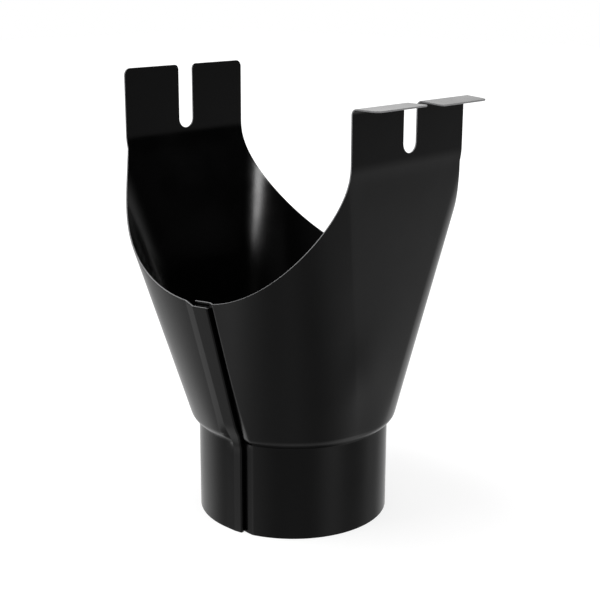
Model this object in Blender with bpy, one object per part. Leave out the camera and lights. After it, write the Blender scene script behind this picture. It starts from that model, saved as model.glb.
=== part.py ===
"""Gutter outlet for a half-round gutter, folded from one blank of painted sheet steel.

The blank is rolled into a funnel and closed along the front by a single lock seam. Its round lower
end is drawn in to a straight spigot for the downpipe. The upper end is cut to a saddle that fits
round the gutter, with a slotted tab on each side: a plain one that is folded over the gutter's back
edge on site, and one with a hook that catches the front bead.

The sheet is drawn as its middle surface, one face thick, and gets its thickness at the end.
Metres, Z up. The gutter runs along Y, the plain tab stands at -X and the hooked tab at +X.
"""

import functools
import math

import bmesh
import bpy
from mathutils import Vector

MM = 0.001

# Sheet
SHEET_THICKNESS = 0.6 * MM

# Spigot, a straight tube that goes into the downpipe
SPIGOT_OUTSIDE_DIAMETER = 83.0 * MM
SPIGOT_LENGTH = 40.5 * MM
SPIGOT_OFFSET_X = 1.6 * MM
SPIGOT_OFFSET_Y = 1.3 * MM

# Shoulder, where the funnel turns in to the spigot
SHOULDER_OUTSIDE_DIAMETER = 90.4 * MM
SHOULDER_HEIGHT = 4.5 * MM

# Saddle, the edge that lies against the underside of the gutter
FUNNEL_HEIGHT = 58.6 * MM
SADDLE_RADIUS = 63.0 * MM
MOUTH_LENGTH = 115.0 * MM
FLARE_AT_CORNER = 9.0 * MM
FLARE_AT_BOTTOM = 11.3 * MM

# Tabs
TAB_WIDTH = 70.5 * MM
CORNER_BELOW_GUTTER_AXIS = 10.3 * MM
FOLD_ABOVE_CORNER = 4.0 * MM
FOLD_EASE = 2.0 * MM
TAB_CORNER_RADIUS = 3.0 * MM
PLAIN_TAB_HEIGHT = 30.2 * MM
SLOT_WIDTH = 8.4 * MM
SLOT_MOUTH_RADIUS = 2.2 * MM
PLAIN_SLOT_FLOOR = 2.1 * MM
HOOKED_SLOT_FLOOR = 3.0 * MM

# Hook along the top of the hooked tab, in two halves bent by hand
HOOK_TAB_HEIGHT = 22.8 * MM
HOOK_REACH = 12.0 * MM
HOOK_BEND_RADIUS = 2.0 * MM
HOOK_FRONT_BEND = math.radians(91.0)
HOOK_BACK_BEND = math.radians(95.0)

# Lock seam. It lies beside the middle of the front and is pressed narrower on the spigot
SEAM_LAP = 2.6 * MM
SEAM_LAP_AT_SHOULDER = 4.2 * MM
SEAM_LAP_AT_EDGE = 7.0 * MM
SEAM_GAP = 0.08 * MM
SEAM_INSET = 1.7 * MM
SEAM_HEM_RADIUS = 0.38 * MM
SEAM_STEP_ANGLE = math.radians(5.0)
SEAM_STEP_RADIUS = 1.5 * MM
SEAM_GROOVE = 0.8 * MM
SEAM_GROOVE_ANGLE = math.radians(28.0)
SEAM_TRIM = 1.5 * MM
SEAM_TRIM_INSIDE = 2.5 * MM
SEAM_OFFSET = 3.9 * MM
SEAM_LEAN = math.radians(5.6)

# The seam is too stiff to follow the shoulder. It leaves the funnel's straight line at this part of
# the way down and has eased into the spigot this far below the crease
SEAM_LEAVES = 0.9
SEAM_ARRIVES = 3.5 * MM

# How the sheet is rolled: the part of each quarter turn taken by the curved edge and by the tab,
# and how far the straight lines of the sheet crowd together at the ends of the curved edge
CORNER_STATION = 0.8
CORNER_TURN = math.radians(78.0)
CROWDING = 0.5

# Facets
EDGE_STEPS = 14
TAB_STEPS = 8
FUNNEL_STEPS = 8
SHOULDER_STEPS = 5
SPIGOT_STEPS = 2
EASE_STEPS = 3
FOLD_STEPS = 6
HEM_STEPS = 3
STEP_STEPS = 3
CORNER_STEPS = 5
SLOT_STEPS = 12
HOOK_STEPS = 8
HOOK_SPANS = 3

PAINT_COLOUR = (0.009, 0.009, 0.010, 1.0)
PAINT_ROUGHNESS = 0.22

# Sizes that follow from the ones above
HALF_THICKNESS = SHEET_THICKNESS / 2
SPIGOT_RADIUS = SPIGOT_OUTSIDE_DIAMETER / 2 - HALF_THICKNESS
SHOULDER_RADIUS = SHOULDER_OUTSIDE_DIAMETER / 2 - HALF_THICKNESS
SHOULDER_Z = SPIGOT_LENGTH + SHOULDER_HEIGHT
SADDLE_BOTTOM_Z = SHOULDER_Z + FUNNEL_HEIGHT
GUTTER_AXIS_Z = SADDLE_BOTTOM_Z + SADDLE_RADIUS
CORNER_ANGLE = math.acos(CORNER_BELOW_GUTTER_AXIS / SADDLE_RADIUS)
CORNER_X = SADDLE_RADIUS * math.sin(CORNER_ANGLE)
CORNER_Z = GUTTER_AXIS_Z - CORNER_BELOW_GUTTER_AXIS
FOLD_Z = CORNER_Z + FOLD_ABOVE_CORNER
HOOK_BEND_START = HOOK_TAB_HEIGHT - HOOK_BEND_RADIUS - HALF_THICKNESS
SEAM_PITCH = SHEET_THICKNESS + SEAM_GAP
SEAM_RISE = 3 * SEAM_PITCH - SEAM_INSET
SPIGOT_AXIS = Vector((SPIGOT_OFFSET_X, SPIGOT_OFFSET_Y, 0.0))
SEAM_STATION = -CORNER_STATION * math.asin(SEAM_OFFSET / SADDLE_RADIUS) / CORNER_ANGLE


def edge_half_length(angle):
    """Half the mouth's length, along the gutter, at an angle round it from the bottom."""
    start = math.cos(CORNER_ANGLE)
    k = (math.cos(angle) - start) / (1.0 - start)
    ease_out = 1 - 3 * k ** 2 + 2 * k ** 3
    ease_in = 3 * k ** 2 - 2 * k ** 3
    leave = k - 2 * k ** 2 + k ** 3
    arrive = k ** 3 - k ** 2
    ends = ease_out * TAB_WIDTH / 2 + ease_in * MOUTH_LENGTH / 2
    return ends + leave * FLARE_AT_CORNER + arrive * FLARE_AT_BOTTOM


def fold_x(side):
    """How far out the fold of one tab lies, so that the funnel's flat side runs straight up to it."""
    slope = (CORNER_X - SHOULDER_RADIUS - side * SPIGOT_OFFSET_X) / (CORNER_Z - SHOULDER_Z)
    return CORNER_X + slope * FOLD_ABOVE_CORNER


def top_point(station):
    """Where the funnel ends at the top. Station 0 is the front, 1 the plain tab, 3 the hooked tab."""
    station = station % 4
    side_x = -1 if station <= 2 else 1
    side_y = 1 if 1 < station < 3 else -1
    part = 1 - abs(station % 2 - 1)
    if part < CORNER_STATION:
        angle = CORNER_ANGLE * part / CORNER_STATION
        x = SADDLE_RADIUS * math.sin(angle)
        z = GUTTER_AXIS_Z - SADDLE_RADIUS * math.cos(angle)
        return Vector((side_x * x, side_y * edge_half_length(angle), z))
    share = (1 - part) / (1 - CORNER_STATION)
    return Vector((side_x * CORNER_X, side_y * share * TAB_WIDTH / 2, CORNER_Z))


def turn_angle(station):
    """The angle round the spigot, from -Y towards -X, that a station's straight line runs down to."""
    station = station % 4
    part = 1 - abs(station % 2 - 1)
    if part < CORNER_STATION:
        k = part / CORNER_STATION
        turn = CORNER_TURN * (k - CROWDING * math.sin(2 * math.pi * k) / (2 * math.pi))
    else:
        share = (part - CORNER_STATION) / (1 - CORNER_STATION)
        turn = CORNER_TURN + (math.pi / 2 - CORNER_TURN) * share
    quarter = int(station)
    angle = (turn, math.pi - turn, math.pi + turn, -turn)[quarter]
    lean = SEAM_LEAN * max(math.cos(angle), 0.0) ** 2
    return angle - lean


def ring_point(angle, radius, z):
    """A point at an angle round the spigot's axis."""
    return SPIGOT_AXIS + Vector((-radius * math.sin(angle), -radius * math.cos(angle), z))


def wall_line(station, soft=0.0):
    """The middle of the sheet at one station, as points from the top edge down to the spigot's end.

    It follows the shoulder where soft is 0 and passes it by, as the seam does, where soft is 1.
    """
    angle = turn_angle(station)
    shoulder = ring_point(angle, SHOULDER_RADIUS, SHOULDER_Z)
    top = top_point(station)
    down = (shoulder - top).normalized()
    line = [top.lerp(shoulder, i / FUNNEL_STEPS) for i in range(FUNNEL_STEPS + 1)]
    turn = shoulder + down * (SHOULDER_HEIGHT / 2)
    crease = ring_point(angle, SPIGOT_RADIUS, SPIGOT_LENGTH)
    for i in range(1, SHOULDER_STEPS + 1):
        k = i / SHOULDER_STEPS
        line.append(shoulder.lerp(turn, k).lerp(turn.lerp(crease, k), k))
    for i in range(1, SPIGOT_STEPS + 1):
        line.append(crease - Vector((0, 0, SEAM_ARRIVES * i / SPIGOT_STEPS)))
    line.append(ring_point(angle, SPIGOT_RADIUS, 0.0))
    leave = top.lerp(shoulder, SEAM_LEAVES)
    return [eased_point(point, leave, shoulder, crease, soft) for point in line]


def eased_point(point, leave, shoulder, crease, soft):
    """A point of a wall line, moved level towards the line that passes the shoulder by."""
    height = leave.z - crease.z + SEAM_ARRIVES
    k = min((leave.z - point.z) / height, 1.0)
    if k <= 0:
        return point
    aim = (shoulder - leave) * (height / (leave.z - shoulder.z))
    place = leave * (1 - 3 * k ** 2 + 2 * k ** 3) + aim * (k - 2 * k ** 2 + k ** 3)
    place += crease * (3 * k ** 2 - 2 * k ** 3)
    place.z = point.z
    return point.lerp(place, soft)


def arc(centre, radius, start, end, steps):
    """Points on an arc, both ends included. Angles in degrees."""
    points = []
    for i in range(steps + 1):
        a = math.radians(start + (end - start) * i / steps)
        points.append((centre[0] + radius * math.cos(a), centre[1] + radius * math.sin(a)))
    return points


def seam_sections(lap):
    """The two hooked edges of the seam, seen from above, from the plain wall to the cut edge.

    The outer edge comes from -X, steps out over the other one and is folded back under itself. The
    inner edge comes from +X, steps in under it and is folded out into its hook. Each point is given
    as (along, outward, soft, trim): its place from the seam's line, how much it passes the shoulder
    by and how far it is cut back at the top. The two layers inside are cut back further.
    """
    left = -lap / 2
    right = lap / 2
    base = -SEAM_INSET
    step = seam_step(left, SEAM_RISE, SEAM_STEP_ANGLE)
    outer = []
    for along, rise in step:
        outer.append((along, rise, step_share(rise / SEAM_RISE), SEAM_TRIM * rise / SEAM_RISE))
    hem = right + SEAM_PITCH - SEAM_HEM_RADIUS
    high = base + 3 * SEAM_PITCH - SEAM_HEM_RADIUS
    low = base + SEAM_PITCH + SEAM_HEM_RADIUS
    fold = arc((hem, high), SEAM_HEM_RADIUS, 90, 0, HEM_STEPS)
    fold += arc((hem, low), SEAM_HEM_RADIUS, 0, -90, HEM_STEPS)
    fold.append((left, base + SEAM_PITCH))
    for i, (along, outward) in enumerate(fold):
        k = min(i / (2 * HEM_STEPS), 1.0)
        outer.append((along, outward, 1.0, SEAM_TRIM + (SEAM_TRIM_INSIDE - SEAM_TRIM) * k))
    step = seam_step(-right - SEAM_GROOVE, SEAM_INSET, SEAM_GROOVE_ANGLE)
    inner = [(-along, -rise, step_share(rise / SEAM_INSET), 0.0) for along, rise in step]
    fold = arc((left, base + SEAM_PITCH), SEAM_PITCH, -90, -270, FOLD_STEPS)
    for i, (along, outward) in enumerate(fold):
        inner.append((along, outward, 1.0, SEAM_TRIM_INSIDE * min(3 * i / FOLD_STEPS, 1.0)))
    inner.append((right, base + 2 * SEAM_PITCH, 1.0, SEAM_TRIM_INSIDE))
    return outer, inner


def step_share(share):
    """How much a step has left the wall for the seam: nothing on its first half, then evenly all."""
    return min(max(2 * share - 1, 0.0), 1.0)


def seam_step(end, rise, angle):
    """The step from the plain wall to a layer that lies `rise` further out, up to where it is level.

    It runs up a straight slope and then, concentric with the other edge's fold, round to level.
    """
    over = 2 * SEAM_PITCH
    straight = rise - (SEAM_STEP_RADIUS + over) * (1 - math.cos(angle))
    run = (SEAM_STEP_RADIUS + over) * math.sin(angle) + straight / math.tan(angle)
    foot = end - run
    degrees = math.degrees(angle)
    low = arc((foot, SEAM_STEP_RADIUS), SEAM_STEP_RADIUS, -90, degrees - 90, STEP_STEPS)
    high = arc((end, rise - over), over, 90 + degrees, 90, STEP_STEPS)
    middle = ((low[-1][0] + high[0][0]) / 2, (low[-1][1] + high[0][1]) / 2)
    return low + [middle] + high


def outward_offsets(station, soft, line):
    """For each point of a wall line, the step outwards that keeps a folded layer parallel to the wall."""
    nudge = 0.002
    ahead = wall_line(station + nudge, soft)
    behind = wall_line(station - nudge, soft)
    normals = []
    for i in range(len(line) - 1):
        along = ahead[i] - behind[i]
        normals.append(along.cross(line[i + 1] - line[i]).normalized())
    steps = [normals[0]]
    for before, after in zip(normals, normals[1:]):
        steps.append((before + after) / (1 + before.dot(after)))
    steps.append(normals[-1])
    return steps


def seam_rates():
    """How far the wall runs, at each row, for one unit of station at the seam."""
    nudge = 0.002
    pairs = zip(wall_line(SEAM_STATION + nudge, 1.0), wall_line(SEAM_STATION - nudge, 1.0))
    return [(ahead - behind).length / (2 * nudge) for ahead, behind in pairs]


def seam_laps(rows):
    """The seam's lap at each row: wide at the saddle's edge, narrow from the crease down."""
    laps = []
    for row in range(rows):
        k = min(row / FUNNEL_STEPS, 1.0)
        lap = SEAM_LAP_AT_EDGE + (SEAM_LAP_AT_SHOULDER - SEAM_LAP_AT_EDGE) * k
        k = min(max(row - FUNNEL_STEPS, 0) / SHOULDER_STEPS, 1.0)
        laps.append(lap + (SEAM_LAP - SEAM_LAP_AT_SHOULDER) * k)
    return laps


def seam_columns(rates, edge):
    """The columns of points on one hooked edge of the seam, 0 the outer edge and 1 the inner one."""
    sections = [seam_sections(lap)[edge] for lap in seam_laps(len(rates))]
    columns = []
    for places in zip(*sections):
        column = []
        for row, (along, outward, soft, trim) in enumerate(places):
            station = SEAM_STATION - along / rates[row]
            line = wall_line(station, soft)
            column.append(line[row] + outward_offsets(station, soft, line)[row] * outward)
        down = (column[1] - column[0]).normalized()
        column[0] = column[0] + down * places[0][3]
        columns.append(column)
    return columns


def blended_column(alongs, rates, toward, share):
    """A column between the seam's hooked edge and the station of the nearest tab's corner."""
    column = []
    for row, (along, rate) in enumerate(zip(alongs, rates)):
        start = SEAM_STATION - along / rate
        column.append(wall_line(start + (toward - start) * share)[row])
    return column


def wall_columns():
    """The columns of points of the whole funnel and spigot, and the indices of the tabs' columns."""
    rates = seam_rates()
    sections = [seam_sections(lap) for lap in seam_laps(len(rates))]
    feet = [outer[0][0] for outer, inner in sections]
    ends = [inner[0][0] for outer, inner in sections]
    columns = list(reversed(seam_columns(rates, 0)))
    corner = CORNER_STATION
    for i in range(1, EDGE_STEPS):
        columns.append(blended_column(feet, rates, corner, i / EDGE_STEPS))
    tabs = []
    for middle in (1.0, 3.0):
        first = len(columns)
        half = 1 - corner
        for i in range(TAB_STEPS + 1):
            columns.append(wall_line(middle - half + 2 * half * i / TAB_STEPS))
        tabs.append((first, len(columns) - 1))
        if middle == 1.0:
            start = middle + half
            run = 2 * corner
            steps = 2 * EDGE_STEPS
            columns += [wall_line(start + run * i / steps) for i in range(1, steps)]
    for i in range(1, EDGE_STEPS):
        columns.append(blended_column(ends, rates, -corner, 1 - i / EDGE_STEPS))
    columns += seam_columns(rates, 1)
    return columns, tabs


def hook_path(bend_angle, length):
    """Outward distance and height above the fold, after a length of sheet up the hooked tab."""
    past = max(length - HOOK_BEND_START, 0.0)
    bend = min(past / HOOK_BEND_RADIUS, bend_angle)
    run = past - bend * HOOK_BEND_RADIUS
    out = HOOK_BEND_RADIUS * (1 - math.cos(bend)) + run * math.sin(bend)
    height = min(length, HOOK_BEND_START) + HOOK_BEND_RADIUS * math.sin(bend) + run * math.cos(bend)
    return out, height


def flat_path(length):
    """The same for the plain tab, which stands straight up."""
    return 0.0, length


def slot_floor(floor):
    """The round end of a slot, from its left side to its right side."""
    half = SLOT_WIDTH / 2
    return arc((0.0, floor + half), half, 180, 360, SLOT_STEPS)


def free_corners(left, right, top, left_radius, right_radius):
    """The free end of a piece of tab: over its rounded left corner and its rounded right corner."""
    points = arc((left + left_radius, top - left_radius), left_radius, 180, 90, CORNER_STEPS)
    points += arc((right - right_radius, top - right_radius), right_radius, 90, 0, CORNER_STEPS)
    return points


class TabPlate:
    """Adds one tab above its fold. Its points are given as (across, up), seen from outside."""

    def __init__(self, bm, side, path):
        self.bm = bm
        self.side = side
        self.path = path

    def vert(self, across, up):
        out, height = self.path(up)
        x = self.side * (fold_x(self.side) + out)
        return self.bm.verts.new((x, -self.side * across, FOLD_Z + height))

    def verts(self, points):
        return [self.vert(across, up) for across, up in points]

    def face(self, bottom, outline):
        self.bm.faces.new(list(reversed(bottom)) + outline)


def fold_rows(bm, side, tops):
    """Rows of points from the tab's corners up to the fold, eased round into the upright tab."""
    rows = [tops]
    for i in range(EASE_STEPS + 1):
        k = i / EASE_STEPS
        row = []
        for vert in tops:
            fold = Vector((side * fold_x(side), vert.co.y, FOLD_Z))
            below = fold + (vert.co - fold).normalized() * FOLD_EASE
            above = fold + Vector((0, 0, FOLD_EASE))
            row.append(bm.verts.new(below.lerp(fold, k).lerp(fold.lerp(above, k), k)))
        rows.append(row)
    join_rows(bm, rows)
    return rows[-1]


def join_rows(bm, rows):
    """Faces between rows that run the same way, the first row lowest."""
    for low, high in zip(rows, rows[1:]):
        for i in range(len(low) - 1):
            bm.faces.new((high[i], high[i + 1], low[i + 1], low[i]))


def add_plain_tab(bm, bottom):
    """The tab at -X: one flat face with rounded corners and a slot that is open at the top."""
    plate = TabPlate(bm, -1, flat_path)
    half = TAB_WIDTH / 2
    slot = SLOT_WIDTH / 2
    outline = free_corners(-half, -slot, PLAIN_TAB_HEIGHT, TAB_CORNER_RADIUS, SLOT_MOUTH_RADIUS)
    outline += slot_floor(PLAIN_SLOT_FLOOR)
    outline += free_corners(slot, half, PLAIN_TAB_HEIGHT, SLOT_MOUTH_RADIUS, TAB_CORNER_RADIUS)
    plate.face(bottom, plate.verts(outline))


def add_hooked_tab(bm, bottom):
    """The tab at +X: its top is bent outwards, and the slot cuts the bend and the hook in two."""
    half = TAB_WIDTH / 2
    slot = SLOT_WIDTH / 2
    halves = (
        (-half, -slot, TAB_CORNER_RADIUS, SLOT_MOUTH_RADIUS, HOOK_BACK_BEND),
        (slot, half, SLOT_MOUTH_RADIUS, TAB_CORNER_RADIUS, HOOK_FRONT_BEND),
    )
    bend_starts = []
    for left, right, left_radius, right_radius, angle in halves:
        plate = TabPlate(bm, 1, functools.partial(hook_path, angle))
        bend_length = angle * HOOK_BEND_RADIUS
        bend_out = HOOK_BEND_RADIUS * (1 - math.cos(angle))
        free_end = HOOK_BEND_START + bend_length + (HOOK_REACH - bend_out) / math.sin(angle)
        across = [left + (right - left) * j / HOOK_SPANS for j in range(HOOK_SPANS + 1)]
        rows = []
        for i in range(HOOK_STEPS + 1):
            up = HOOK_BEND_START + bend_length * i / HOOK_STEPS
            rows.append([plate.vert(place, up) for place in across])
        join_rows(bm, rows)
        bend_starts.append(rows[0])
        outline = free_corners(left, right, free_end, left_radius, right_radius)
        plate.face(rows[-1], plate.verts(outline))
    lower = TabPlate(bm, 1, flat_path)
    floor = lower.verts(slot_floor(HOOKED_SLOT_FLOOR))
    lower.face(bottom, bend_starts[0] + floor + bend_starts[1])


def build_sheet():
    """The whole folded blank as a mesh, one face thick, seen from outside."""
    bm = bmesh.new()
    columns, tabs = wall_columns()
    grid = [[bm.verts.new(point) for point in column] for column in columns]
    for left, right in zip(grid, grid[1:]):
        join_rows(bm, [[left[row], right[row]] for row in range(len(left) - 1, -1, -1)])
    for (first, last), side in zip(tabs, (-1, 1)):
        tops = [column[0] for column in grid[first:last + 1]]
        bottom = fold_rows(bm, side, tops)
        if side < 0:
            add_plain_tab(bm, bottom)
        else:
            add_hooked_tab(bm, bottom)
    mesh = bpy.data.meshes.new("outlet_body")
    bm.to_mesh(mesh)
    bm.free()
    return mesh


def painted_steel():
    """Gloss black coil-coated steel."""
    material = bpy.data.materials.new("black_painted_steel")
    material.use_nodes = True
    shader = material.node_tree.nodes["Principled BSDF"]
    shader.inputs["Base Color"].default_value = PAINT_COLOUR
    shader.inputs["Roughness"].default_value = PAINT_ROUGHNESS
    shader.inputs["Metallic"].default_value = 0.0
    return material


def main():
    for old in list(bpy.data.objects):
        bpy.data.objects.remove(old, do_unlink=True)
    mesh = build_sheet()
    mesh.materials.append(painted_steel())
    mesh.shade_smooth()
    mesh.set_sharp_from_angle(angle=math.radians(35))
    body = bpy.data.objects.new("outlet_body", mesh)
    bpy.context.scene.collection.objects.link(body)
    thickness = body.modifiers.new("Sheet thickness", "SOLIDIFY")
    thickness.thickness = SHEET_THICKNESS
    thickness.offset = 0.0
    thickness.use_even_offset = True
    thickness.use_quality_normals = True
    body.location = (-HOOK_REACH / 2, SEAM_RISE / 2, 0.0)


main()
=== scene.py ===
# %% [markdown]
# # A gutter outlet, folded from one sheet of steel
#
# A gutter outlet hangs under a half-round gutter and leads the rain into a round downpipe. This one
# is a single blank of black painted steel. It is rolled to a funnel, closed by a lock seam, drawn in
# to a round spigot at the bottom and given two slotted tabs at the top.
#
# The lesson goes the way the metalworker goes: first the flat blank, then the rolling and folding,
# then the thickness and the cut edges, and last the paint, the light and the camera.

# %% Load the frame
import math

import bmesh
import bpy
from mathutils import Matrix, Vector


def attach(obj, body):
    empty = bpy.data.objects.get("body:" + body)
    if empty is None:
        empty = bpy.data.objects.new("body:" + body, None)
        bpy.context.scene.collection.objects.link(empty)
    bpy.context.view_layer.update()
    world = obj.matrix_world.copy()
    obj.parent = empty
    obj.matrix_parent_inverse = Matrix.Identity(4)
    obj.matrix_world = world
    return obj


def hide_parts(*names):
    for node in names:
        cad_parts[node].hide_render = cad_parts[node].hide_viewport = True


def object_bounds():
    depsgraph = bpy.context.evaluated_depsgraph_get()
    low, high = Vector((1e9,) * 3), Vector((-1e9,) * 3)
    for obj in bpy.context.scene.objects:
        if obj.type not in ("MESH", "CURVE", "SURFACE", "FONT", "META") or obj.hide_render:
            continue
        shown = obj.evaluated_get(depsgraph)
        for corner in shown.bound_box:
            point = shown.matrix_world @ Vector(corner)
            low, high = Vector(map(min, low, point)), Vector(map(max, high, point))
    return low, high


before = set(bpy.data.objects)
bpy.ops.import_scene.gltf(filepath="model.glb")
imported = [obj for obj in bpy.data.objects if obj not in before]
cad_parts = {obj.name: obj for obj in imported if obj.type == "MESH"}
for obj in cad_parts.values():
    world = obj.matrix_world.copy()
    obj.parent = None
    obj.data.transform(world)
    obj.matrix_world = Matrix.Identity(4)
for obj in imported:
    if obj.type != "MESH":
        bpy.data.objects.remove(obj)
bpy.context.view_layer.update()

# %% [markdown]
# ## Sizes
#
# The sheet metal drawing has about thirty sizes. They could be read off the solid, but a folded part
# is easier to understand from the numbers that its maker sets: the gutter's radius, the spigot's
# diameter, the sheet's thickness. So they are written down once, in metres, and all else follows.

# %% The maker's sizes
MM = 0.001
SHEET = 0.6 * MM
SPIGOT_RADIUS = 41.2 * MM
SPIGOT_LENGTH = 40.5 * MM
SPIGOT_SHIFT = (1.6 * MM, 1.3 * MM)
SHOULDER_RADIUS = 44.9 * MM
SHOULDER_HEIGHT = 4.5 * MM
SHOULDER_Z = SPIGOT_LENGTH + SHOULDER_HEIGHT
SADDLE_RADIUS = 63.0 * MM
SADDLE_BOTTOM_Z = SHOULDER_Z + 58.6 * MM
GUTTER_AXIS_Z = SADDLE_BOTTOM_Z + SADDLE_RADIUS
MOUTH_LENGTH = 115.0 * MM
TAB_WIDTH = 70.5 * MM
CORNER_DROP = 10.3 * MM
CORNER_ANGLE = math.acos(CORNER_DROP / SADDLE_RADIUS)
CORNER_X = SADDLE_RADIUS * math.sin(CORNER_ANGLE)
CORNER_Z = GUTTER_AXIS_Z - CORNER_DROP
FOLD_RISE = 4.0 * MM
FOLD_Z = CORNER_Z + FOLD_RISE
print("Saddle bottom, tab corner and fold are at z =",
      [round(v, 4) for v in (SADDLE_BOTTOM_Z, CORNER_Z, FOLD_Z)])

# %% The seam's sizes
SEAM_PITCH = SHEET + 0.08 * MM
SEAM_INSET = 1.7 * MM
SEAM_RISE = 3 * SEAM_PITCH - SEAM_INSET
SEAM_LAP = 2.6 * MM
SEAM_LAP_AT_SHOULDER = 4.2 * MM
SEAM_LAP_AT_EDGE = 7.0 * MM
SEAM_HEM_RADIUS = 0.38 * MM
SEAM_SLOPE = math.radians(5.0)
SEAM_SLOPE_RADIUS = 1.5 * MM
SEAM_GROOVE = 0.8 * MM
SEAM_GROOVE_SLOPE = math.radians(28.0)
SEAM_TRIM = 1.5 * MM
SEAM_TRIM_INSIDE = 2.5 * MM
CORNER_STATION = 0.8
SEAM_STATION = -CORNER_STATION * math.asin(3.9 * MM / SADDLE_RADIUS) / CORNER_ANGLE
HOOK_REACH = 12.0 * MM
BLANK_SHIFT = (-HOOK_REACH / 2, SEAM_RISE / 2, 0.0)
print("The seam stands", round(SEAM_RISE * 1000, 2), "mm proud of the wall")

# %% [markdown]
# ## Arithmetic that turns into nodes
#
# The funnel's wall is a ruled surface: straight lines run from the saddle's edge to the round
# shoulder, so the flat sheet can be rolled to it without stretching. A rule like that could be worked
# out in Python for every point. Here it is put in a Geometry Nodes tree instead, because then its
# sizes stay inputs that can be changed with the mouse. A tree of bare Math nodes is hard to read in a
# script, so this small class lets a formula be written as a formula: each sign adds its node.

# %% Formulas as nodes
class Wire:
    """A number or a vector on a wire of a node tree. Arithmetic on it adds the node that does it."""

    def __init__(self, tree, socket):
        self.tree = tree
        self.socket = socket

    def __add__(self, other):
        return join("ADD", self, other)

    def __radd__(self, other):
        return join("ADD", other, self)

    def __sub__(self, other):
        return join("SUBTRACT", self, other)

    def __rsub__(self, other):
        return join("SUBTRACT", other, self)

    def __mul__(self, other):
        return join("MULTIPLY", self, other)

    def __rmul__(self, other):
        return join("MULTIPLY", other, self)

    def __truediv__(self, other):
        return join("DIVIDE", self, other)


def feed(tree, socket, value):
    """Sets a node's input to a plain value, or runs a wire to it."""
    if isinstance(value, Wire):
        tree.links.new(value.socket, socket)
    elif socket.type == "VECTOR" and not hasattr(value, "__len__"):
        socket.default_value = (value, value, value)
    else:
        socket.default_value = value


def join(operation, *values):
    """One Math node, or one Vector Math node where a vector is among the values."""
    wires = [value for value in values if isinstance(value, Wire)]
    tree = wires[0].tree
    has_vector = any(wire.socket.type == "VECTOR" for wire in wires)
    node = tree.nodes.new("ShaderNodeVectorMath" if has_vector else "ShaderNodeMath")
    node.operation = operation
    for socket, value in zip(node.inputs, values):
        feed(tree, socket, value)
    gives_number = operation in ("LENGTH", "DOT_PRODUCT", "DISTANCE")
    return Wire(tree, node.outputs["Value" if gives_number or not has_vector else "Vector"])


def vector(tree, x, y, z):
    """Three numbers joined to a vector."""
    node = tree.nodes.new("ShaderNodeCombineXYZ")
    for socket, value in zip(node.inputs, (x, y, z)):
        feed(tree, socket, value)
    return Wire(tree, node.outputs[0])


def axis_of(wire, axis):
    """One of a vector's three numbers."""
    node = wire.tree.nodes.new("ShaderNodeSeparateXYZ")
    wire.tree.links.new(wire.socket, node.inputs[0])
    return Wire(wire.tree, node.outputs[axis])


def between(start, end, share):
    """The point or number that lies that share of the way from start to end."""
    return start + (end - start) * share


print("Formulas can be written as nodes")

# %% [markdown]
# ## The rule of the wall
#
# A point of the wall is named by two numbers. Its station says where it is round the funnel: 0 is the
# front, 1 the plain tab, 2 the back and 3 the hooked tab. Its way down is 0 at the top edge, 1 at the
# shoulder, 2 at the top of the spigot and 3 at its end. The node group below turns those two numbers
# into a place. A third number says how softly the wall passes the shoulder there, because the folded
# layers of the seam cannot follow its crease. It is a group because the rolling needs it many times:
# for the place itself, and for its neighbours, which give the direction that faces out of the sheet.
#
# A press leaves its own marks in thin sheet. Under each tab the wall is a little hollow, and under the
# hooked tab it is a little full lower down. Neither is more than a millimetre, but on black gloss they
# bend the reflections, so they belong to the rule too. Their sizes were chosen one by one.

# %% Named sizes for the node group
WALL_SIZES = {
    "Saddle radius": SADDLE_RADIUS,
    "Gutter axis height": GUTTER_AXIS_Z,
    "Mouth length": MOUTH_LENGTH,
    "Tab width": TAB_WIDTH,
    "Flare at corner": 9.0 * MM,
    "Flare at bottom": 11.3 * MM,
    "Corner angle": CORNER_ANGLE,
    "Corner station": CORNER_STATION,
    "Corner turn": math.radians(78.0),
    "Crowding": 0.5,
    "Seam lean": math.radians(5.6),
    "Seam leaves": 0.9,
    "Seam arrives": 3.5 * MM,
    "Shoulder radius": SHOULDER_RADIUS,
    "Shoulder height": SHOULDER_HEIGHT,
    "Spigot radius": SPIGOT_RADIUS,
    "Spigot length": SPIGOT_LENGTH,
    "Spigot shift X": SPIGOT_SHIFT[0],
    "Spigot shift Y": SPIGOT_SHIFT[1],
    "Hollow at tab": 0.25 * MM,
    "Bulge height": 1.0 * MM,
    "Bulge station": 3.14,
    "Bulge down": 0.75,
}


def add_sizes(tree, sizes):
    """Named inputs on a tree for a table of sizes. Returns each input's identifier."""
    names = {}
    for name, value in sizes.items():
        socket = tree.interface.new_socket(name=name, in_out="INPUT", socket_type="NodeSocketFloat")
        socket.default_value = value
        names[name] = socket.identifier
    return names


print(len(WALL_SIZES), "named sizes steer the wall")

# %% The group that places one point of the wall
def top_edge(tree, size, part, side_x, side_y):
    """Where a station's line starts: on the round of the saddle, or along the foot of a tab."""
    bent = join("MINIMUM", part / size["Corner station"], 1.0)
    angle = size["Corner angle"] * bent
    least = join("COSINE", size["Corner angle"])
    k = (join("COSINE", angle) - least) / (1.0 - least)
    k2 = k * k
    k3 = k2 * k
    ease_in = 3.0 * k2 - 2.0 * k3
    half = between(size["Tab width"], size["Mouth length"], ease_in) * 0.5
    half = half + (k - 2.0 * k2 + k3) * size["Flare at corner"]
    half = half + (k3 - k2) * size["Flare at bottom"]
    along_tab = join("MINIMUM", (1.0 - part) / (1.0 - size["Corner station"]), 1.0)
    x = size["Saddle radius"] * join("SINE", angle)
    z = size["Gutter axis height"] - size["Saddle radius"] * join("COSINE", angle)
    return vector(tree, side_x * x, side_y * half * along_tab, z)


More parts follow.
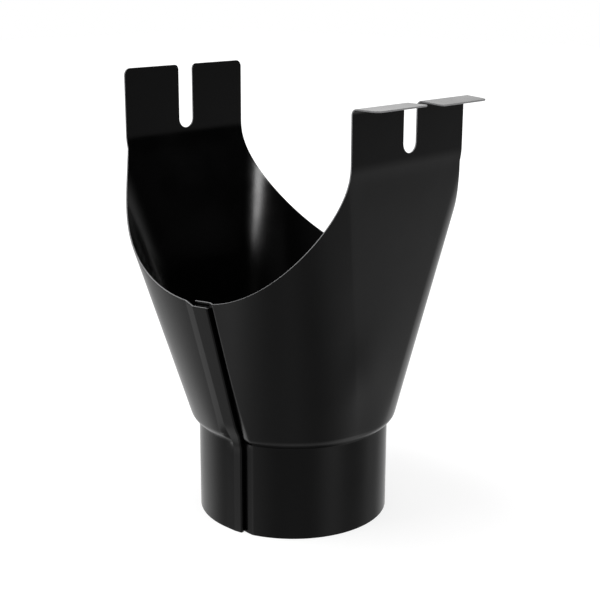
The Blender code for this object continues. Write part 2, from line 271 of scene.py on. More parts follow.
def way_round(tree, size, part, side_x, side_y):
    """The direction, out from the spigot's axis, in which a station's line reaches the shoulder."""
    k = join("MINIMUM", part / size["Corner station"], 1.0)
    crowd = join("SINE", k * (2 * math.pi)) * size["Crowding"] / (2 * math.pi)
    past = join("MAXIMUM", part - size["Corner station"], 0.0) / (1.0 - size["Corner station"])
    turn = size["Corner turn"] * (k - crowd) + (math.pi / 2 - size["Corner turn"]) * past
    x = side_x * join("SINE", turn)
    y = side_y * join("COSINE", turn)
    toward_front = join("MAXIMUM", 0.0 - y, 0.0)
    lean = size["Seam lean"] * toward_front * toward_front
    c = join("COSINE", lean)
    s = join("SINE", lean)
    return vector(tree, x * c - y * s, x * s + y * c, 0.0)


HOLLOW_SIDE_FADE = 12.0
HOLLOW_DOWN_FADE = 144.0
BULGE_ACROSS = 0.17
BULGE_ALONG = 0.14


def forming_marks(size, part, lap, down):
    """How far the wall lies out of its rule: hollow at the foot of a tab, a bulge lower down."""
    past_corner = (part - size["Corner station"]) * HOLLOW_SIDE_FADE + 0.5
    at_tab = join("MINIMUM", join("MAXIMUM", past_corner, 0.0), 1.0)
    hollow = join("EXPONENT", 0.0 - down * down * HOLLOW_DOWN_FADE)
    hollow = hollow * at_tab * size["Hollow at tab"]
    across = (lap - size["Bulge station"]) / BULGE_ACROSS
    along = (down - size["Bulge down"]) / BULGE_ALONG
    bulge = join("EXPONENT", 0.0 - across * across - along * along) * size["Bulge height"]
    return bulge - hollow


print("A line's two ends have their rules")

# %% Past the shoulder
def eased(tree, size, place, leave, shoulder, crease):
    """A place moved level, by its softness, towards the line that passes the shoulder by."""
    height = axis_of(leave, "Z") - axis_of(crease, "Z") + size["Seam arrives"]
    way = (axis_of(leave, "Z") - axis_of(place, "Z")) / height
    k = join("MAXIMUM", join("MINIMUM", way, 1.0), 0.0)
    k2 = k * k
    k3 = k2 * k
    aim = (shoulder - leave) * (height / (axis_of(leave, "Z") - axis_of(shoulder, "Z")))
    step = 3.0 * k2 - 2.0 * k3
    passing = between(leave, crease, step) + aim * (k - 2.0 * k2 + k3)
    level = vector(tree, axis_of(passing, "X"), axis_of(passing, "Y"), axis_of(place, "Z"))
    return between(place, level, size["Soft"] * join("GREATER_THAN", way, 0.0))


print("The seam has its own way past the shoulder")

# %% The lines, the shoulder and the spigot
def wall_group():
    """The node group from station and way down to a place on the middle of the sheet."""
    tree = bpy.data.node_groups.new("Wall point", "GeometryNodeTree")
    for name in ("Station", "Down", "Soft"):
        tree.interface.new_socket(name=name, in_out="INPUT", socket_type="NodeSocketFloat")
    add_sizes(tree, WALL_SIZES)
    tree.interface.new_socket(name="Place", in_out="OUTPUT", socket_type="NodeSocketVector")
    inputs = tree.nodes.new("NodeGroupInput")
    size = {socket.name: Wire(tree, socket) for socket in inputs.outputs if socket.name}
    lap = join("FLOORED_MODULO", size["Station"], 4.0)
    part = 1.0 - join("ABSOLUTE", join("FLOORED_MODULO", size["Station"], 2.0) - 1.0)
    side_x = join("GREATER_THAN", lap, 2.0) * 2.0 - 1.0
    beyond = join("GREATER_THAN", lap, 1.0) * join("LESS_THAN", lap, 3.0)
    side_y = beyond * 2.0 - 1.0
    top = top_edge(tree, size, part, side_x, side_y)
    out = way_round(tree, size, part, side_x, side_y)
    axis = vector(tree, size["Spigot shift X"], size["Spigot shift Y"], 0.0)
    shoulder_z = size["Spigot length"] + size["Shoulder height"]
    shoulder = axis + out * size["Shoulder radius"] + vector(tree, 0.0, 0.0, shoulder_z)
    crease = axis + out * size["Spigot radius"] + vector(tree, 0.0, 0.0, size["Spigot length"])
    turn = shoulder + join("NORMALIZE", shoulder - top) * (size["Shoulder height"] * 0.5)
    down = size["Down"]
    place = between(top, shoulder, join("MINIMUM", down, 1.0))
    k = join("MAXIMUM", join("MINIMUM", down - 1.0, 1.0), 0.0)
    rounding = between(between(shoulder, turn, k), between(turn, crease, k), k) - shoulder
    drop = join("MAXIMUM", down - 2.0, 0.0) * size["Spigot length"]
    place = place + rounding - vector(tree, 0.0, 0.0, drop)
    place = eased(tree, size, place, between(top, shoulder, size["Seam leaves"]), shoulder, crease)
    place = place + out * forming_marks(size, part, lap, down)
    outputs = tree.nodes.new("NodeGroupOutput")
    tree.links.new(place.socket, outputs.inputs["Place"])
    return tree


WALL_GROUP = wall_group()
print("The wall's rule takes", len(WALL_GROUP.nodes), "nodes")

# %% [markdown]
# ## The flat blank
#
# The blank is a flat mesh, one face thick, whose points carry the numbers that the rule needs. Both
# ends of the blank have extra columns for the seam's hooked edges. Seen from above, each hook is a
# gentle step, a level layer and a tight half turn, drawn here as points (along, outward). How far
# along a point lies depends on the seam's lap, which is wide at the saddle and narrow below, so that
# share is kept apart from the fixed part. Each point also says how softly it passes the shoulder, and
# how far its layer is cut back below the saddle's edge.
#
# One fault is left: where the seam passes the top of the spigot, its layers still cross a little
# inside the stack.

# %% The hooked edges, seen from above
BEND_STEPS = 6
HEM_STEPS = 5
HALF_TURN_STEPS = 10
TRIM_PER_POINT = 0.3


def arc(centre, radius, start, end, steps):
    """Points on an arc, both ends included. Angles in degrees."""
    points = []
    for i in range(steps + 1):
        a = math.radians(start + (end - start) * i / steps)
        points.append((centre[0] + radius * math.cos(a), centre[1] + radius * math.sin(a)))
    return points


def seam_step(end, rise, slope):
    """The step from the wall up to a layer that lies `rise` further out and is level from `end`."""
    degrees = math.degrees(slope)
    over = 2 * SEAM_PITCH
    straight = rise - (SEAM_SLOPE_RADIUS + over) * (1 - math.cos(slope))
    run = (SEAM_SLOPE_RADIUS + over) * math.sin(slope) + straight / math.tan(slope)
    foot = end - run
    low = arc((foot, SEAM_SLOPE_RADIUS), SEAM_SLOPE_RADIUS, -90, degrees - 90, BEND_STEPS)
    high = arc((end, rise - over), over, 90 + degrees, 90, BEND_STEPS)
    middle = ((low[-1][0] + high[0][0]) / 2, (low[-1][1] + high[0][1]) / 2)
    return low + [middle] + high


def step_share(share):
    """How much a step has left the wall for the seam: nothing on its first half, then evenly all."""
    return min(max(2 * share - 1, 0.0), 1.0)


def hooked_edges(lap):
    """The outer and the inner hooked edge, as points (along, outward, softness, trim)."""
    left = -lap / 2
    right = lap / 2
    base = -SEAM_INSET
    step = seam_step(left, SEAM_RISE, SEAM_SLOPE)
    outer = []
    for along, rise in step:
        trim = SEAM_TRIM * rise / SEAM_RISE
        outer.append((along, rise, step_share(rise / SEAM_RISE), trim))
    hem = right + SEAM_PITCH - SEAM_HEM_RADIUS
    high = base + 3 * SEAM_PITCH - SEAM_HEM_RADIUS
    low = base + SEAM_PITCH + SEAM_HEM_RADIUS
    fold = arc((hem, high), SEAM_HEM_RADIUS, 90, 0, HEM_STEPS)
    fold += arc((hem, low), SEAM_HEM_RADIUS, 0, -90, HEM_STEPS)
    fold.append((left, base + SEAM_PITCH))
    for i, (along, outward) in enumerate(fold):
        k = min(i / (2 * HEM_STEPS), 1.0)
        outer.append((along, outward, 1.0, SEAM_TRIM + (SEAM_TRIM_INSIDE - SEAM_TRIM) * k))
    step = seam_step(-right - SEAM_GROOVE, SEAM_INSET, SEAM_GROOVE_SLOPE)
    inner = [(-along, -rise, step_share(rise / SEAM_INSET), 0.0) for along, rise in step]
    fold = arc((left, base + SEAM_PITCH), SEAM_PITCH, -90, -270, HALF_TURN_STEPS)
    for i, (along, outward) in enumerate(fold):
        inner.append((along, outward, 1.0, SEAM_TRIM_INSIDE * min(TRIM_PER_POINT * i, 1.0)))
    inner.append((right, base + 2 * SEAM_PITCH, 1.0, SEAM_TRIM_INSIDE))
    return outer, inner


def hook_columns(edge):
    """Each point of a hooked edge as the numbers that one column of the blank carries."""
    fixed = hooked_edges(0.0)[edge]
    unit = hooked_edges(1.0)[edge]
    columns = []
    for (along, outward, soft, trim), (stretched, *_) in zip(fixed, unit):
        columns.append({"along": along, "along_lap": stretched - along, "outward": outward,
                        "soft": soft, "trim": trim})
    return columns


print("Points on the two hooked edges:", [len(edge) for edge in hooked_edges(SEAM_LAP)])

# %% Columns and rows of the blank
EDGE_COLUMNS = 40
TAB_COLUMNS = 24
DOWN_ROWS = [i / 48 for i in range(48)]
DOWN_ROWS += [1 + i / 12 for i in range(12)]
DOWN_ROWS += [2 + i / 20 for i in range(21)]


def blank_columns():
    """All columns round the blank, and the first and last column of each tab."""
    outer = hook_columns(0)
    inner = hook_columns(1)
    corner = CORNER_STATION
    columns = [dict(column, toward=0.0, share=0.0) for column in reversed(outer)]
    for i in range(1, EDGE_COLUMNS):
        columns.append(dict(outer[0], toward=corner, share=i / EDGE_COLUMNS))
    tabs = []
    for middle in (1.0, 3.0):
        start = middle - 1 + corner
        tabs.append((len(columns), len(columns) + TAB_COLUMNS))
        for i in range(TAB_COLUMNS + 1):
            columns.append({"toward": start + 2 * (1 - corner) * i / TAB_COLUMNS, "share": 1.0})
        if middle == 1.0:
            steps = 2 * EDGE_COLUMNS
            for i in range(1, steps):
                columns.append({"toward": 2 - corner + 2 * corner * i / steps, "share": 1.0})
    for i in range(1, EDGE_COLUMNS):
        columns.append(dict(inner[0], toward=-corner, share=1 - i / EDGE_COLUMNS))
    columns += [dict(column, toward=0.0, share=0.0) for column in inner]
    return columns, tabs


columns, tab_columns = blank_columns()
print("The blank has", len(columns), "columns and", len(DOWN_ROWS), "rows")

# %% [markdown]
# ## The tabs of the blank
#
# Above each fold the sheet is a flat tab with rounded corners and a slot that is open at the top. A
# slot could be cut with a Boolean, but its edge would be ragged where the cut crosses the mesh. The
# tab's outline is known, so it is drawn as one face. Only the hook needs rows of its own, because
# there the sheet bends.

# %% Outlines of the tabs
SLOT_WIDTH = 8.4 * MM
SLOT_STEPS = 24
CORNER_STEPS = 10
PLAIN_SLOT_FLOOR = 2.1 * MM
HOOKED_SLOT_FLOOR = 3.0 * MM
HOOK_ANGLES = (math.radians(95.0), math.radians(91.0))
TAB_CORNER = 3.0 * MM
SLOT_CORNER = 2.2 * MM
PLAIN_TAB_HEIGHT = 30.2 * MM
HOOK_BEND_RADIUS = 2.0 * MM
HOOK_BEND_START = 22.8 * MM - HOOK_BEND_RADIUS - SHEET / 2
HOOK_BEND_STEPS = 12
HOOK_SPANS = 6


def slot_floor(floor):
    """The round end of a slot, from its left side to its right side."""
    return arc((0.0, floor + SLOT_WIDTH / 2), SLOT_WIDTH / 2, 180, 360, SLOT_STEPS)


def free_end(left, right, top, left_radius, right_radius):
    """The free end of a piece of tab, over its two rounded corners."""
    points = arc((left + left_radius, top - left_radius), left_radius, 180, 90, CORNER_STEPS)
    points += arc((right - right_radius, top - right_radius), right_radius, 90, 0, CORNER_STEPS)
    return points


def fold_x(side):
    """Where a tab's fold lies: the funnel's flat side runs straight up to it."""
    slope = (CORNER_X - SHOULDER_RADIUS - side * SPIGOT_SHIFT[0]) / (CORNER_Z - SHOULDER_Z)
    return CORNER_X + slope * FOLD_RISE


print("The folds lie at x =", [round(side * fold_x(side), 4) for side in (-1, 1)])

# %% The class that lays out the blank
POINT_NUMBERS = ("zone", "down", "toward", "share", "along", "along_lap", "outward", "soft", "trim",
                 "fold", "across", "up", "bend")
WALL_ZONE = 0.0
FOLD_ZONE = 1.0
TAB_ZONE = 2.0
FLAT_WIDTH = 0.4
FLAT_ROW = 0.05
FLAT_FOLD_ROW = 0.005
FLAT_TAB_PLACE = (0.13, 0.14)
FOLD_ROWS = 8


class Blank:
    """The flat blank: a mesh whose points carry the numbers that the rolling reads."""

    def __init__(self):
        self.bm = bmesh.new()
        self.layers = {name: self.bm.verts.layers.float.new(name) for name in POINT_NUMBERS}

    def point(self, place, **numbers):
        vert = self.bm.verts.new((place[0], place[1], 0.0))
        for name, value in numbers.items():
            vert[self.layers[name]] = value
        return vert

    def rows(self, rows):
        """Faces between rows that run the same way, the first row lowest."""
        for low, high in zip(rows, rows[1:]):
            for i in range(len(low) - 1):
                self.bm.faces.new((high[i], high[i + 1], low[i + 1], low[i]))

    def tab_point(self, side, bend, across, up):
        """A point of a tab, given as seen from outside: across, and up from the fold."""
        place = (side * FLAT_TAB_PLACE[0] + across, FLAT_TAB_PLACE[1] + up)
        fold = side * fold_x(side)
        return self.point(place, zone=TAB_ZONE, fold=fold, across=across, up=up, bend=bend)


def lay_out_wall(blank):
    """The grid of the funnel and the spigot. Returns the grid as columns of points, top first."""
    grid = []
    for i, column in enumerate(columns):
        x = FLAT_WIDTH * (i / (len(columns) - 1) - 0.5)
        points = []
        for down in DOWN_ROWS:
            points.append(blank.point((x, -FLAT_ROW * down), zone=WALL_ZONE, down=down, **column))
        grid.append(points)
    for left, right in zip(grid, grid[1:]):
        blank.rows([[left[row], right[row]] for row in range(len(left) - 1, -1, -1)])
    return grid


def lay_out_fold(blank, side, tops, stations):
    """Rows from the tab's corners up round the fold. Returns the last row."""
    rows = [tops]
    fold = side * fold_x(side)
    for i in range(FOLD_ROWS + 1):
        row = []
        for vert, station in zip(tops, stations):
            place = (vert.co.x, FLAT_FOLD_ROW * (i + 1))
            row.append(blank.point(place, zone=FOLD_ZONE, down=-i / FOLD_ROWS, toward=station,
                                   share=1.0, fold=fold))
        rows.append(row)
    blank.rows(rows)
    return rows[-1]


print("Each point of the blank carries", len(POINT_NUMBERS), "numbers")

# %% The two tabs
def lay_out_plain_tab(blank, bottom):
    """The tab at the back of the gutter, which the installer folds over its edge."""
    half = TAB_WIDTH / 2
    slot = SLOT_WIDTH / 2
    outline = free_end(-half, -slot, PLAIN_TAB_HEIGHT, TAB_CORNER, SLOT_CORNER)
    outline += slot_floor(PLAIN_SLOT_FLOOR)
    outline += free_end(slot, half, PLAIN_TAB_HEIGHT, SLOT_CORNER, TAB_CORNER)
    points = [blank.tab_point(-1, 0.0, across, up) for across, up in outline]
    blank.bm.faces.new(list(reversed(bottom)) + points)


def lay_out_hooked_tab(blank, bottom):
    """The tab at the front. The slot halves its hook, and the halves are bent a little differently."""
    half = TAB_WIDTH / 2
    slot = SLOT_WIDTH / 2
    halves = (
        (-half, -slot, TAB_CORNER, SLOT_CORNER, HOOK_ANGLES[0]),
        (slot, half, SLOT_CORNER, TAB_CORNER, HOOK_ANGLES[1]),
    )
    starts = []
    for left, right, left_radius, right_radius, angle in halves:
        bend_length = angle * HOOK_BEND_RADIUS
        bend_out = HOOK_BEND_RADIUS * (1 - math.cos(angle))
        end = HOOK_BEND_START + bend_length + (HOOK_REACH - bend_out) / math.sin(angle)
        across = [left + (right - left) * i / HOOK_SPANS for i in range(HOOK_SPANS + 1)]
        rows = []
        for i in range(HOOK_BEND_STEPS + 1):
            up = HOOK_BEND_START + bend_length * i / HOOK_BEND_STEPS
            rows.append([blank.tab_point(1, angle, place, up) for place in across])
        blank.rows(rows)
        starts.append(rows[0])
        outline = free_end(left, right, end, left_radius, right_radius)
        points = [blank.tab_point(1, angle, place, up) for place, up in outline]
        blank.bm.faces.new(list(reversed(rows[-1])) + points)
    floor = [blank.tab_point(1, 0.0, across, up) for across, up in slot_floor(HOOKED_SLOT_FLOOR)]
    blank.bm.faces.new(list(reversed(bottom)) + starts[0] + floor + starts[1])


def lay_out_blank():
    """The whole blank as a mesh."""
    blank = Blank()
    grid = lay_out_wall(blank)
    for (first, last), side in zip(tab_columns, (-1, 1)):
        tops = [column[0] for column in grid[first:last + 1]]
        stations = [column["toward"] for column in columns[first:last + 1]]
        bottom = lay_out_fold(blank, side, tops, stations)
        if side < 0:
            lay_out_plain_tab(blank, bottom)
        else:
            lay_out_hooked_tab(blank, bottom)
    mesh = bpy.data.meshes.new("flat_blank")
    blank.bm.to_mesh(mesh)
    blank.bm.free()
    return mesh


blank_mesh = lay_out_blank()
print("The flat blank has", len(blank_mesh.polygons), "faces")

# %% [markdown]
# ## Gloss black paint
#
# The sheet was painted as a coil and then formed. Such paint is a smooth, dark, fairly glossy film
# with a very fine orange peel, and the sheet under it is never quite flat: it keeps long, shallow
# waves from rolling. On black gloss these show only in the reflections, so they are bump, not colour.

# %% The paint
def new_material(name):
    """A node material and its shader node."""
    material = bpy.data.materials.new(name)
    material.use_nodes = True
    return material, material.node_tree.nodes["Principled BSDF"]


def noise(tree, place, scale, detail=2.0):
    """A noise texture on a pattern of places."""
    node = tree.nodes.new("ShaderNodeTexNoise")
    node.inputs["Scale"].default_value = scale
    node.inputs["Detail"].default_value = detail
    node.inputs["Roughness"].default_value = 0.5
    tree.links.new(place, node.inputs["Vector"])
    return node.outputs[0]


def spread(tree, value, low, high):
    """A texture's middle range stretched to run from low to high."""
    node = tree.nodes.new("ShaderNodeMapRange")
    node.inputs["From Min"].default_value = 0.3
    node.inputs["From Max"].default_value = 0.7
    node.inputs["To Min"].default_value = low
    node.inputs["To Max"].default_value = high
    tree.links.new(value, node.inputs["Value"])
    return node.outputs["Result"]


def bump(tree, height, distance, strength, after=None):
    """A bump node, laid over an earlier one if there is one."""
    node = tree.nodes.new("ShaderNodeBump")
    node.inputs["Distance"].default_value = distance
    node.inputs["Strength"].default_value = strength
    tree.links.new(height, node.inputs["Height"])
    if after is not None:
        tree.links.new(after, node.inputs["Normal"])
    return node.outputs["Normal"]


def black_paint():
    """Black coil paint with long waves in the sheet and a fine orange peel."""
    material, shader = new_material("black_coil_paint")
    tree = material.node_tree
    shader.inputs["Base Color"].default_value = (0.0008, 0.0008, 0.0009, 1.0)
    shader.inputs["IOR"].default_value = 1.5
    place = tree.nodes.new("ShaderNodeTexCoord").outputs["Object"]
    waves = bump(tree, noise(tree, place, scale=28.0), distance=0.0004, strength=0.35)
    fine = noise(tree, place, scale=900.0)
    peel = bump(tree, fine, distance=0.00002, strength=0.12, after=waves)
    tree.links.new(peel, shader.inputs["Normal"])
    gloss = spread(tree, noise(tree, place, scale=60.0, detail=3.0), low=0.17, high=0.24)
    tree.links.new(gloss, shader.inputs["Roughness"])
    return material


def cut_edge():
    """The edge where the shears cut through the painted sheet: bare grey steel."""
    material, shader = new_material("cut_sheet_edge")
    tree = material.node_tree
    shader.inputs["Base Color"].default_value = (0.24, 0.24, 0.244, 1.0)
    shader.inputs["IOR"].default_value = 1.6
    place = tree.nodes.new("ShaderNodeTexCoord").outputs["Object"]
    gloss = spread(tree, noise(tree, place, scale=700.0, detail=3.0), low=0.18, high=0.3)
    tree.links.new(gloss, shader.inputs["Roughness"])
    return material


paint = black_paint()
edge = cut_edge()
print("Paint nodes:", len(paint.node_tree.nodes))

# %% [markdown]
# ## Rolling and folding
#
# The rolling tree reads each point's numbers and moves it to its place. Points of the wall go through
# the wall's rule. In the seam they are then moved outwards, square to the wall, by the height of
# their layer. Points of a fold follow a short curve from the wall's slope into the upright tab, and
# points of a tab go straight up, round the hook's bend and out along the hook.

# %% Helpers of the rolling tree
def number(tree, name):
    """A number that the blank's points carry."""
    node = tree.nodes.new("GeometryNodeInputNamedAttribute")
    node.data_type = "FLOAT"
    node.inputs["Name"].default_value = name
    return Wire(tree, node.outputs["Attribute"])


def wall_point(tree, sizes, station, down, soft=0.0):
    """A place on the wall, from the group above."""
    node = tree.nodes.new("GeometryNodeGroup")
    node.node_tree = WALL_GROUP
    feed(tree, node.inputs["Station"], station)
    feed(tree, node.inputs["Down"], down)
    feed(tree, node.inputs["Soft"], soft)
    for name in WALL_SIZES:
        feed(tree, node.inputs[name], sizes[name])
    return Wire(tree, node.outputs["Place"])


def chosen(tree, test, yes, no):
    """One of two vectors, by a test."""
    node = tree.nodes.new("GeometryNodeSwitch")
    node.input_type = "VECTOR"
    feed(tree, node.inputs["Switch"], test)
    feed(tree, node.inputs["False"], no)
    feed(tree, node.inputs["True"], yes)
    return Wire(tree, node.outputs[0])


FOLD_SIZES = {
    "Seam station": SEAM_STATION,
    "Seam lap": SEAM_LAP,
    "Seam lap at shoulder": SEAM_LAP_AT_SHOULDER,
    "Seam lap at edge": SEAM_LAP_AT_EDGE,
    "Fold height": FOLD_Z,
    "Fold ease": 2.0 * MM,
    "Hook bend start": HOOK_BEND_START,
    "Hook bend radius": HOOK_BEND_RADIUS,
}
NUDGE = 0.002
TRIM_FADE = 6.0
print(len(FOLD_SIZES), "more sizes steer the seam, the folds and the hook")

# %% Three kinds of point
def rolled_wall(tree, size):
    """A point of the wall or of the seam's hooked edges."""
    down = number(tree, "down")
    soft = number(tree, "soft")
    seam = size["Seam station"]
    next_to = wall_point(tree, size, seam + NUDGE, down, 1.0)
    rate = join("LENGTH", next_to - wall_point(tree, size, seam - NUDGE, down, 1.0)) / (2 * NUDGE)
    to_shoulder = join("MINIMUM", down, 1.0)
    lap = between(size["Seam lap at edge"], size["Seam lap at shoulder"], to_shoulder)
    past = join("MAXIMUM", join("MINIMUM", down - 1.0, 1.0), 0.0)
    lap = lap + (size["Seam lap"] - size["Seam lap at shoulder"]) * past
    along = number(tree, "along") + number(tree, "along_lap") * lap
    station = between(seam - along / rate, number(tree, "toward"), number(tree, "share"))
    ahead = wall_point(tree, size, station + NUDGE, down, soft)
    behind = wall_point(tree, size, station - NUDGE, down, soft)
    below = wall_point(tree, size, station, down + NUDGE, soft)
    above = wall_point(tree, size, station, down - NUDGE, soft)
    outward = join("NORMALIZE", join("CROSS_PRODUCT", ahead - behind, below - above))
    trim = number(tree, "trim") * join("MAXIMUM", 1.0 - down * TRIM_FADE, 0.0)
    place = wall_point(tree, size, station, down, soft) + outward * number(tree, "outward")
    return place + join("NORMALIZE", below - above) * trim


def rolled_fold(tree, size):
    """A point on the short curve between the wall and the upright tab."""
    top = wall_point(tree, size, number(tree, "toward"), 0.0)
    fold = vector(tree, number(tree, "fold"), axis_of(top, "Y"), size["Fold height"])
    below = fold + join("NORMALIZE", top - fold) * size["Fold ease"]
    above = fold + vector(tree, 0.0, 0.0, size["Fold ease"])
    k = 0.0 - number(tree, "down")
    return between(between(below, fold, k), between(fold, above, k), k)


def rolled_tab(tree, size):
    """A point of a tab, straight up from the fold and then round the hook's bend."""
    up = number(tree, "up")
    fold = number(tree, "fold")
    side = join("SIGN", fold)
    past = join("MAXIMUM", up - size["Hook bend start"], 0.0) * join("SIGN", number(tree, "bend"))
    bent = join("MINIMUM", past / size["Hook bend radius"], number(tree, "bend"))
    run = past - bent * size["Hook bend radius"]
    sine = join("SINE", bent)
    cosine = join("COSINE", bent)
    out = size["Hook bend radius"] * (1.0 - cosine) + run * sine
    height = up - past + size["Hook bend radius"] * sine + run * cosine
    across = 0.0 - side * number(tree, "across")
    return vector(tree, fold + side * out, across, size["Fold height"] + height)


print("Wall, fold and tab each have their own rule")

# %% The rolling tree
def rolling_tree():
    """The tree that rolls and folds the blank."""
    tree = bpy.data.node_groups.new("Roll and fold", "GeometryNodeTree")
    tree.interface.new_socket(name="Blank", in_out="INPUT", socket_type="NodeSocketGeometry")
    names = add_sizes(tree, {**WALL_SIZES, **FOLD_SIZES})
    coat = tree.interface.new_socket(name="Paint", in_out="INPUT", socket_type="NodeSocketMaterial")
    names["Paint"] = coat.identifier
    tree.interface.new_socket(name="Sheet", in_out="OUTPUT", socket_type="NodeSocketGeometry")
    inputs = tree.nodes.new("NodeGroupInput")
    size = {socket.name: Wire(tree, socket) for socket in inputs.outputs if socket.name}
    zone = number(tree, "zone")
    is_tab = join("GREATER_THAN", zone, (FOLD_ZONE + TAB_ZONE) / 2)
    is_folded = join("GREATER_THAN", zone, (WALL_ZONE + FOLD_ZONE) / 2)
    folded = chosen(tree, is_tab, rolled_tab(tree, size), rolled_fold(tree, size))
    place = chosen(tree, is_folded, folded, rolled_wall(tree, size))
    move = tree.nodes.new("GeometryNodeSetPosition")
    tree.links.new(inputs.outputs["Blank"], move.inputs["Geometry"])
    tree.links.new((place + BLANK_SHIFT).socket, move.inputs["Position"])
    real = tree.nodes.new("GeometryNodeRealizeInstances")
    tree.links.new(move.outputs[0], real.inputs[0])
    coat = tree.nodes.new("GeometryNodeSetMaterial")
    tree.links.new(real.outputs[0], coat.inputs["Geometry"])
    tree.links.new(inputs.outputs["Paint"], coat.inputs["Material"])
    outputs = tree.nodes.new("NodeGroupOutput")
    tree.links.new(coat.outputs[0], outputs.inputs["Sheet"])
    return tree, names


roll, roll_names = rolling_tree()
print("The rolling takes", len(roll.nodes), "nodes")

# %% [markdown]
# ## Thickness and cut edges
#
# The rolled sheet still has no thickness. Solidify gives it 0.6 mm, half to each side, and marks the
# new rim faces as cut edge. Real shears leave a slightly rounded corner, and that corner is what
# catches the light along the saddle, so a small bevel follows. The weighted normals keep the flat
# tabs looking flat up to the bevel.

# %% From the blank to the sheet
def finish_sheet(mesh):
    """The blank's object with its modifiers: rolling, thickness, rounded cut edges, flat shading."""
    mesh.materials.append(paint)
    mesh.materials.append(edge)
    blank = bpy.data.objects.new("flat_blank", mesh)
    bpy.context.scene.collection.objects.link(blank)
    rolling = blank.modifiers.new("Roll and fold", "NODES")
    rolling.node_group = roll
    for name, value in {**WALL_SIZES, **FOLD_SIZES}.items():
        rolling[roll_names[name]] = value
    rolling[roll_names["Paint"]] = paint
    thickness = blank.modifiers.new("Sheet thickness", "SOLIDIFY")
    thickness.thickness = SHEET
    thickness.offset = 0.0
    thickness.use_even_offset = True
    thickness.use_quality_normals = True
    thickness.material_offset_rim = 1
    bevel = blank.modifiers.new("Sheared corner", "BEVEL")
    bevel.width = 0.1 * MM
    bevel.segments = 2
    bevel.limit_method = "ANGLE"
    bevel.angle_limit = math.radians(50)
    bevel.use_clamp_overlap = False
    flat = blank.modifiers.new("Flat faces stay flat", "WEIGHTED_NORMAL")
    flat.keep_sharp = True
    return blank


def as_plain_mesh(source, name):
    """The finished shape of an object as a plain mesh object at the origin."""
    depsgraph = bpy.context.evaluated_depsgraph_get()
    mesh = bpy.data.meshes.new_from_object(source.evaluated_get(depsgraph), depsgraph=depsgraph)
    mesh.name = name
    piece = bpy.data.objects.new(name, mesh)
    bpy.context.scene.collection.objects.link(piece)
    bpy.data.objects.remove(source)
    return piece


for face in blank_mesh.polygons:
    face.use_smooth = True
sheet = as_plain_mesh(finish_sheet(blank_mesh), "folded_sheet")
for name in POINT_NUMBERS:
    if name in sheet.data.attributes:
        sheet.data.attributes.remove(sheet.data.attributes[name])
print("The finished sheet has", len(sheet.data.polygons), "faces")
print("Its finishes:", [material.name for material in sheet.data.materials])

# %% The sheet takes the solid's place
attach(sheet, "root")
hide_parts("outlet_body")
low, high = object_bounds()
print("Box of the folded sheet:", [round(v, 5) for v in (*low, *high)])

# %% [markdown]
# ## Floor
#
# The photograph shows the outlet on pure white. The floor is pale and takes a soft shadow. To the
# camera it is a darker grey that also glows, until the lit floor looks white. The glow leaves the
# lamps at a plain level and keeps the shadow faint. Further out the glow grows to full white, so that
# the floor has no visible end.

# %% The floor
FLOOR_HALF = 3.0
PALE_TONE = 0.8
SEEN_TONE = 0.4
SEEN_GLOW = 0.75
GLOW_START = 0.15
GLOW_GROWTH = 0.5


def pale_floor():
    """A large pale sheet on which the outlet stands."""
    mesh = bpy.data.meshes.new("floor")
    half = FLOOR_HALF
    corners = [(-half, -half, 0), (half, -half, 0), (half, half, 0), (-half, half, 0)]
    mesh.from_pydata(corners, [], [(0, 1, 2, 3)])
    floor = bpy.data.objects.new("floor", mesh)
    bpy.context.scene.collection.objects.link(floor)
    return floor


def light_path(tree, name):
    """1 for the rays of one kind and 0 for all others."""
    return Wire(tree, tree.nodes.new("ShaderNodeLightPath").outputs[name])


def floor_finish():
    """Pale to the light, white to the camera, with the shadow kept near the outlet."""
    material, shader = new_material("pale_floor")
    tree = material.node_tree
    seen = light_path(tree, "Is Camera Ray")
    tone = between(PALE_TONE, SEEN_TONE, seen)
    tree.links.new(vector(tree, tone, tone, tone).socket, shader.inputs["Base Color"])
    shader.inputs["Roughness"].default_value = 1.0
    shader.inputs["Specular IOR Level"].default_value = 0.0
    place = Wire(tree, tree.nodes.new("ShaderNodeTexCoord").outputs["Object"])
    away = join("LENGTH", place)
    glow = (away - GLOW_START) / GLOW_GROWTH
    far = join("MINIMUM", join("MAXIMUM", glow, SEEN_GLOW), 1.0) * seen
    shader.inputs["Emission Color"].default_value = (1.0, 1.0, 1.0, 1.0)
    tree.links.new(far.socket, shader.inputs["Emission Strength"])
    return material


floor = pale_floor()
floor.data.materials.append(floor_finish())
floor.visible_glossy = False
print("The floor is", floor.dimensions.x, "m across")

# %% [markdown]
# ## Light
#
# Black gloss has hardly any colour of its own. What the eye sees is the room mirrored in it, so the
# room is what gives the sheet its form. The sheet faces down, so it mostly mirrors the table round
# it: bright behind the outlet, dim on the camera's side, and black above the horizon but for a few
# lights. That room is drawn in the world, as soft patches of brightness by direction, and only
# mirrored rays see it. A real table and a real backdrop could do the same, but each of them would
# also change the light on the floor. To the camera the world is plain white, and for everything else
# it is an even, soft light. The patches were set from this one view, so that the reflections come
# near those in the photograph. From other sides they are only plausible.
#
# A softbox on the right makes the bright streak inside the funnel. A second one above lights the
# floor softly and is not mirrored.

# %% The mirrored room
EVEN_LIGHT = 0.5
HORIZON_SOFTNESS = 0.12
FLOOR_GLOW = 0.12
